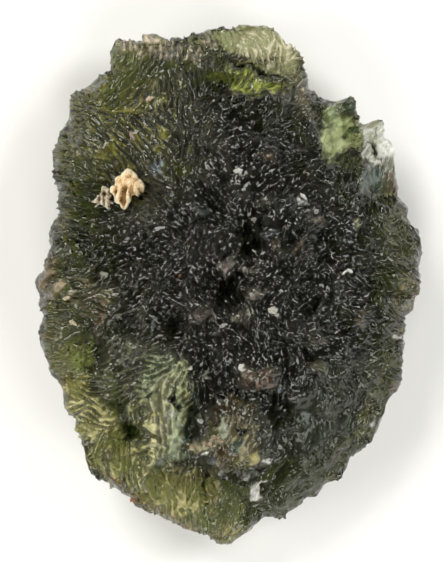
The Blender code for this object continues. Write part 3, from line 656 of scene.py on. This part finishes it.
def carve(item, plan, front, back, ridge_scale):
    """Moves the stone's points along their normals by the heights drawn for its front and its back. Ridges
    are lower on steep walls, and the facet that the stone rests on stays flat."""
    points, normals = points_and_normals(item)
    facing = front_share(normals)
    x, y = points[:, 0], points[:, 1]
    height = facing * plan.read(front, x, y) + (1.0 - facing) * plan.read(back, x, y)
    steep = 0.35 + 0.65 * smoothstep(np.abs(normals[:, 2]), 0.15, 0.6)
    by_floor = (1.0 - facing) * (1.0 - smoothstep(points[:, 2], *FLOOR_FADE))
    lumps = LUMP_HEIGHT * noise_at(points, LUMP_SIZE, 1.0)
    height = ridge_scale * steep * height + lumps - FLOOR_INSET * by_floor
    height[points[:, 2] < FLOOR_GAP] = 0.0
    set_points(item, points + normals * height[:, None])


def lift_to_floor(item):
    """Brings points that are below the floor up to it."""
    points, _ = points_and_normals(item)
    points[:, 2] = np.maximum(points[:, 2], 0.0)
    set_points(item, points)


def paint(item, plan, skin_and_painted_light, dull, back_crest):
    """Stores the colour and the dullness of the glass at each of the stone's points. Where it is hardly
    dull it keeps the tint of bare glass, because the skin's colour would darken the light that passes."""
    points, normals = points_and_normals(item)
    facing = front_share(normals)
    x, y = points[:, 0], points[:, 1]
    back_dull = 0.02 + 0.08 * plan.read(back_crest, x, y)
    amount = facing * plan.read(dull, x, y) + (1.0 - facing) * back_dull
    front_skin_and_painted_light = facing[:, None] * plan.read(skin_and_painted_light, x, y)
    shade = front_skin_and_painted_light + (1.0 - facing[:, None]) * np.array(linear(BACK_SKIN))
    bare = np.array(linear(BARE_GLASS))
    share = np.clip(9.0 * amount, 0.0, 1.0)[:, None]
    colour = bare + share * (shade - bare)
    add_point_values(item, "skin_and_painted_light_colour", np.hstack((colour, np.ones((len(x), 1)))))
    add_point_values(item, "dullness", amount)


def glass_material(settings):
    """Tektite glass, quenched in flight and etched by soil acids: clear olive glass whose crests flash,
    with a satin skin where it is dull. Moldavite's index of refraction is 1.48 to 1.50."""
    material, tree = new_material("Etched_tektite_glass")
    grain = add_node(
        tree, "ShaderNodeTexNoise",
        inputs={"Scale": 1.0 / (DENT_SIZE * MM), "Detail": 3.0, "Roughness": 0.6},
        links={"Vector": add_node(tree, "ShaderNodeTexCoord").outputs["Object"]},
    )
    dents = add_node(
        tree, "ShaderNodeBump", inputs={"Strength": 0.15, "Distance": DENT_DEPTH * MM},
        links={"Height": grain.outputs["Fac"]},
    )
    dullness = add_node(
        tree, "ShaderNodeAttribute", settings={"attribute_name": "dullness"}
    ).outputs["Fac"]
    skin_and_painted_light = add_node(
        tree, "ShaderNodeAttribute", settings={"attribute_name": "skin_and_painted_light_colour"}
    ).outputs["Color"]
    clearness = add_node(
        tree, "ShaderNodeMath", settings={"operation": "SUBTRACT"}, inputs={0: 1.0}, links={1: dullness},
    )
    polish = add_node(
        tree, "ShaderNodeMath", settings={"operation": "MULTIPLY_ADD"},
        inputs={1: SKIN_ROUGHNESS, 2: BARE_ROUGHNESS}, links={0: dullness},
    )
    glass = add_node(
        tree, "ShaderNodeBsdfPrincipled",
        inputs={
            "IOR": 1.49, "Specular IOR Level": 0.30, "Specular Tint": (*linear("#d6d9d2"), 1.0),
        },
        links={
            "Base Color": skin_and_painted_light, "Roughness": polish.outputs["Value"],
            "Transmission Weight": clearness.outputs["Value"], "Normal": dents.outputs["Normal"],
        },
    )
    absorption = add_node(
        tree, "ShaderNodeVolumeAbsorption",
        inputs={"Color": (*settings.absorption_colour, 1.0), "Density": settings.absorption},
    )
    add_node(
        tree, "ShaderNodeOutputMaterial",
        links={"Surface": glass.outputs["BSDF"], "Volume": absorption.outputs["Volume"]},
    )
    return material


class MOLDAVITE_OT_glass(bpy.types.Operator):
    """Carve the etched ridges of the stone and give it its glass"""

    bl_idname = "moldavite.glass"
    bl_label = "Etched glass"

    def execute(self, context):
        settings = context.scene.moldavite_glass
        item = dense_copy("moldavite_etched", "moldavite")
        plan = Plan()
        front, crest = draw_ridges(plan, FRONT_FLOW, seed=3)
        back, back_crest = draw_ridges(plan, None, seed=31)
        rise, strength, skin_and_painted_light, dull = draw_landmarks(plan, crest)
        grain = GRAIN_HEIGHT * plan.smooth(GRAIN_SIZE, 91)
        front = front * strength + rise + strength * draw_cups(plan, seed=5) + grain
        carve(item, plan, front, back, settings.ridge_scale)
        lift_to_floor(item)
        thin_out(item, STONE_TRIANGLES)
        item.data.shade_smooth()
        lift_to_floor(item)
        paint(item, plan, skin_and_painted_light, dull, back_crest)
        item.data.materials.clear()
        item.data.materials.append(glass_material(settings))
        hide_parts("moldavite")
        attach(item, "root")
        return {"FINISHED"}


def crumb_material(name, furrow_shade_colour, colour, rubbed_colour):
    """Dried clay with quartz silt: matte and crumbly, dark in its furrows and hollow as painted shade, and
    cream where it is rubbed.
    """
    material, tree = new_material(name)
    wear_and_furrow_shade = add_node(tree, "ShaderNodeAttribute", settings={"attribute_name": "wear_and_furrow_shade"}).outputs["Fac"]
    colours = add_node(tree, "ShaderNodeValToRGB", links={"Fac": wear_and_furrow_shade})
    ramp = colours.color_ramp
    # The furrow colour is painted shade
    ramp.elements[0].color = (*linear(furrow_shade_colour), 1.0)
    ramp.elements[1].color = (*linear(rubbed_colour), 1.0)
    ramp.elements.new(0.45).color = (*colour, 1.0)
    surface = add_node(
        tree, "ShaderNodeBsdfPrincipled", inputs={"Roughness": 0.85, "Specular IOR Level": 0.3},
        links={"Base Color": colours.outputs["Color"]},
    )
    add_node(tree, "ShaderNodeOutputMaterial", links={"Surface": surface.outputs["BSDF"]})
    return material


def chip_material():
    """Chips of dried clay and broken quartz, and one pale chip that is a painted highlight: each has its
    own colour, and they are less rough than the crumbs, as soil has rubbed them."""
    material, tree = new_material("Rubbed_clay_chips_and_glint")
    colour = add_node(
        tree, "ShaderNodeAttribute", settings={"attribute_name": "chip_colour"}
    ).outputs["Color"]
    surface = add_node(
        tree, "ShaderNodeBsdfPrincipled", inputs={"Roughness": 0.7}, links={"Base Color": colour}
    )
    add_node(tree, "ShaderNodeOutputMaterial", links={"Surface": surface.outputs["BSDF"]})
    return material


def crumb_edge(outline, turn):
    """The middle of an outline and how far its edge is from there at each turn, in millimetres."""
    corners = np.array([on_stone(*corner) for corner in outline])
    middle = 0.5 * (corners.min(axis=0) + corners.max(axis=0))
    offsets = corners - middle
    angles = np.arctan2(offsets[:, 1], offsets[:, 0])
    order = np.argsort(angles)
    radii = np.hypot(offsets[:, 0], offsets[:, 1])
    return middle, np.interp(turn, angles[order], radii[order], period=2.0 * math.pi)


def closed_shell(name, x, y, top, under, rings, turns):
    """An object between two sheets over the same plan, in millimetres. Each is a middle point with rings of
    points around it."""
    shape = bmesh.new()
    tops, unders = [
        [shape.verts.new((x[k] * MM, y[k] * MM, height[k] * MM)) for k in range(len(x))]
        for height in (top, under)
    ]
    for verts, flip in ((tops, 1), (unders, -1)):
        for j in range(turns):
            n = (j + 1) % turns
            shape.faces.new((verts[0], verts[1 + j], verts[1 + n])[::flip])
            for i in range(rings - 1):
                inner, outer = 1 + i * turns, 1 + (i + 1) * turns
                shape.faces.new(
                    (verts[inner + j], verts[outer + j], verts[outer + n], verts[inner + n])[::flip]
                )
    last = 1 + (rings - 1) * turns
    for j in range(turns):
        n = (j + 1) % turns
        shape.faces.new((tops[last + j], unders[last + j], unders[last + n], tops[last + n]))
    mesh = bpy.data.meshes.new(name)
    shape.to_mesh(mesh)
    shape.free()
    item = bpy.data.objects.new(name, mesh)
    bpy.context.scene.collection.objects.link(item)
    mesh.shade_smooth()
    return item


def crumb_mesh(name, node, outline, furrow_spacing, furrow_depth, hollow, seed, rings=56, turns=300):
    """A ragged crumb in the place of a packed one: a dome on its outline, with furrows that fan out
    downwards from its top. The hollow is X and Y from its middle, and radius, in millimetres, and the depth
    of the furrows is a share of its height."""
    turn = 2.0 * math.pi * np.arange(turns) / turns
    middle, edge = crumb_edge(outline, turn)
    box = [Vector(corner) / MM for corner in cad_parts[node].bound_box]
    low, high = min(c.z for c in box), max(c.z for c in box)
    share = (np.arange(1, rings + 1) / rings)[:, None]
    x = np.append(middle[0], middle[0] + share * edge * np.cos(turn))
    y = np.append(middle[1], middle[1] + share * edge * np.sin(turn))
    reach = np.append(0.0, np.broadcast_to(share, (rings, turns)))
    place = np.column_stack((x, y, np.zeros_like(x)))
    across = (x - middle[0]) / (1.0 + 0.35 * (middle[1] - y)) + 0.16 * noise_at(place, 0.5, seed)
    furrow = np.cos(2.0 * math.pi * across / furrow_spacing)
    downward = smoothstep(middle[1] - y, -0.5, 0.5)
    ragged = noise_at(place, 0.30, seed + 1)
    fine = noise_at(place, 0.11, seed + 2)
    hx, hy = middle[0] + hollow[0], middle[1] + hollow[1]
    sunk = np.exp(-((x - hx) ** 2 + (y - hy) ** 2) / hollow[2] ** 2)
    dome = np.sqrt(np.clip(1.0 - reach**4, 0.0, 1.0))
    furrows = furrow_depth * downward * (furrow - 1.0) / 2.0
    relief = 0.74 + furrows + 0.26 * ragged + 0.07 * fine - 0.4 * sunk
    top = low + (high - low) * (0.12 + 0.88 * dome * np.clip(relief, 0.1, 1.0))
    under = low + 0.10 * (high - low) * (1.0 - dome)
    # The furrows and the hollow are darkened as painted shade; the crests between furrows and the edge are
    # lighter, where rubbed
    by_edge = 0.45 * smoothstep(reach, 0.75, 1.0)
    wear_and_furrow_shade = 0.52 + 0.26 * downward * furrow + 0.3 * ragged + 0.2 * fine + by_edge - 0.3 * sunk
    wear_and_furrow_shade = np.clip(wear_and_furrow_shade, 0.0, 1.0)
    item = closed_shell(name, x, y, top, under, rings, turns)
    add_point_values(item, "wear_and_furrow_shade", np.append(wear_and_furrow_shade, wear_and_furrow_shade))
    return item


def chips_mesh(name, glass, chips, seed):
    """Small ragged chips of sediment, and one pale chip that is a painted highlight, each laid on the glass
    below its place in the photograph.
    """
    chance = np.random.default_rng(seed)
    ground = BVHTree.FromObject(glass, bpy.context.evaluated_depsgraph_get())
    scale = PHOTO_PIXEL / MM
    points, faces, colours = [], [], []
    for column, row, length, width, direction, colour in chips:
        x, y = on_stone(column, row)
        hit = ground.ray_cast(Vector((x * MM, y * MM, 0.1)), Vector((0.0, 0.0, -1.0)))[0]
        ball = bmesh.new()
        bmesh.ops.create_icosphere(ball, subdivisions=4, radius=1.0)
        shape = np.array([vert.co[:] for vert in ball.verts])
        first = len(points)
        faces += [[first + vert.index for vert in face.verts] for face in ball.faces]
        ball.free()
        lumps = chance.uniform(0.0, 50.0)
        shape *= 1.0 + (0.8 * noise_at(shape, 0.8, lumps) + 0.5 * noise_at(shape, 0.3, lumps))[:, None]
        shape *= (length * scale, width * scale, 0.5 * width * scale)
        c, s = math.cos(math.radians(direction)), math.sin(math.radians(direction))
        along, across = c * shape[:, 0] - s * shape[:, 1], s * shape[:, 0] + c * shape[:, 1]
        turned = np.column_stack((along, across, shape[:, 2]))
        points += [tuple(p) for p in (turned + (x, y, hit.z / MM + CHIP_LIFT)) * MM]
        colours += [(*linear(colour), 1.0)] * len(shape)
    mesh = bpy.data.meshes.new(name)
    mesh.from_pydata(points, [], faces)
    item = bpy.data.objects.new(name, mesh)
    bpy.context.scene.collection.objects.link(item)
    mesh.shade_smooth()
    add_point_values(item, "chip_colour", np.array(colours))
    return item


class MOLDAVITE_OT_crumbs(bpy.types.Operator):
    """Make the two crumbs of sediment and the small chips stuck to the glass"""

    bl_idname = "moldavite.crumbs"
    bl_label = "Sediment crumbs"

    def execute(self, context):
        settings = context.scene.moldavite_crumbs
        tan = crumb_mesh(
            "tan_crumb_fluted", "tan_crumb", TAN_OUTLINE,
            furrow_spacing=0.52, furrow_depth=0.75, hollow=(-0.1, 0.0, 0.2), seed=4,
        )
        tan_clay = crumb_material("Dried_tan_clay", "#9c7c52", settings.tan_colour, "#f0e5c4")
        tan.data.materials.append(tan_clay)
        pale = crumb_mesh(
            "pale_crumb_spiked", "pale_crumb", PALE_OUTLINE,
            furrow_spacing=0.34, furrow_depth=0.5, hollow=(0.15, 0.3, 0.22), seed=9,
        )
        pale_clay = crumb_material("Dried_pale_clay", "#574d3c", settings.pale_colour, "#e4ddce")
        pale.data.materials.append(pale_clay)
        for item, node in ((tan, "tan_crumb"), (pale, "pale_crumb")):
            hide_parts(node)
            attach(item, "root")
        chips = chips_mesh("sediment_chips_and_glint", bpy.data.objects["moldavite_etched"], CHIPS, seed=12)
        chips.data.materials.append(chip_material())
        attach(chips, "root")
        return {"FINISHED"}


def paper_material(settings):
    """Pressed paper, uncoated: matte, and just off white so that the stone's edge stays clear on it."""
    material, tree = new_material("Matte_pressed_paper")
    paper = add_node(
        tree, "ShaderNodeBsdfPrincipled",
        inputs={"Base Color": (*settings.floor_colour, 1.0), "Roughness": 0.8},
    )
    add_node(tree, "ShaderNodeOutputMaterial", links={"Surface": paper.outputs["BSDF"]})
    return material


def light_room(scene):
    """An even dim room, and the lamps around the stone."""
    world = bpy.data.worlds.new("Soft_room")
    world.use_nodes = True
    scene.world = world
    background = world.node_tree.nodes["Background"]
    background.inputs["Color"].default_value = ROOM_COLOUR
    background.inputs["Strength"].default_value = ROOM_STRENGTH
    for name, place, width, power, colour in LAMPS:
        data = bpy.data.lights.new(name, "AREA")
        data.shape = "DISK"
        data.size = width
        data.energy = power
        data.color = colour
        lamp = bpy.data.objects.new(name, data)
        lamp.location = place
        lamp.rotation_euler = (-Vector(place)).to_track_quat("-Z", "Y").to_euler()
        scene.collection.objects.link(lamp)


def place_camera(scene):
    """A camera straight above that frames the stone as the photograph does."""
    data = bpy.data.cameras.new("Camera")
    data.lens = LENS
    data.clip_start = 0.01
    camera = bpy.data.objects.new("Camera", data)
    distance = PHOTO_HEIGHT * PHOTO_PIXEL * data.lens / data.sensor_width
    middle_x = (PHOTO_WIDTH / 2.0 - STONE_MIDDLE_PIXEL[0]) * PHOTO_PIXEL
    middle_y = (STONE_MIDDLE_PIXEL[1] - PHOTO_HEIGHT / 2.0) * PHOTO_PIXEL
    camera.location = (middle_x, middle_y, RIM_HEIGHT + distance)
    scene.collection.objects.link(camera)
    scene.camera = camera


class MOLDAVITE_OT_stage(bpy.types.Operator):
    """Lay the pale floor, set the soft lights and place the camera"""

    bl_idname = "moldavite.stage"
    bl_label = "Floor, lights and camera"

    def execute(self, context):
        settings = context.scene.moldavite_stage
        radius = settings.floor_size / 2.0
        bpy.ops.mesh.primitive_circle_add(vertices=96, radius=radius, fill_type="NGON")
        floor = context.object
        floor.name = "floor"
        floor.data.materials.append(paper_material(settings))
        light_room(context.scene)
        place_camera(context.scene)
        context.scene.view_settings.view_transform = "Standard"
        return {"FINISHED"}


class MOLDAVITE_PT_panel(bpy.types.Panel):
    """The stage, the glass and the crumbs, in the order in which they are made"""

    bl_label = "Moldavite"
    bl_idname = "MOLDAVITE_PT_panel"
    bl_space_type = "VIEW_3D"
    bl_region_type = "UI"
    bl_category = "Moldavite"

    def draw(self, context):
        scene = context.scene
        column = self.layout.column()
        for group, names, operator in (
            (scene.moldavite_stage, ("floor_size", "floor_colour"), "moldavite.stage"),
            (scene.moldavite_glass, ("ridge_scale", "absorption_colour", "absorption"), "moldavite.glass"),
            (scene.moldavite_crumbs, ("tan_colour", "pale_colour"), "moldavite.crumbs"),
        ):
            for name in names:
                column.prop(group, name)
            column.operator(operator)


CLASSES = (
    GlassSettings,
    CrumbSettings,
    StageSettings,
    MOLDAVITE_OT_glass,
    MOLDAVITE_OT_crumbs,
    MOLDAVITE_OT_stage,
    MOLDAVITE_PT_panel,
)


def register():
    for cls in CLASSES:
        bpy.utils.register_class(cls)
    bpy.types.Scene.moldavite_glass = PointerProperty(type=GlassSettings)
    bpy.types.Scene.moldavite_crumbs = PointerProperty(type=CrumbSettings)
    bpy.types.Scene.moldavite_stage = PointerProperty(type=StageSettings)


def unregister():
    del bpy.types.Scene.moldavite_stage
    del bpy.types.Scene.moldavite_crumbs
    del bpy.types.Scene.moldavite_glass
    for cls in reversed(CLASSES):
        bpy.utils.unregister_class(cls)


def main():
    """Makes the scene."""
    register()
    bpy.ops.moldavite.stage()
    bpy.ops.moldavite.glass()
    bpy.ops.moldavite.crumbs()


if __name__ == "__main__":
    main()
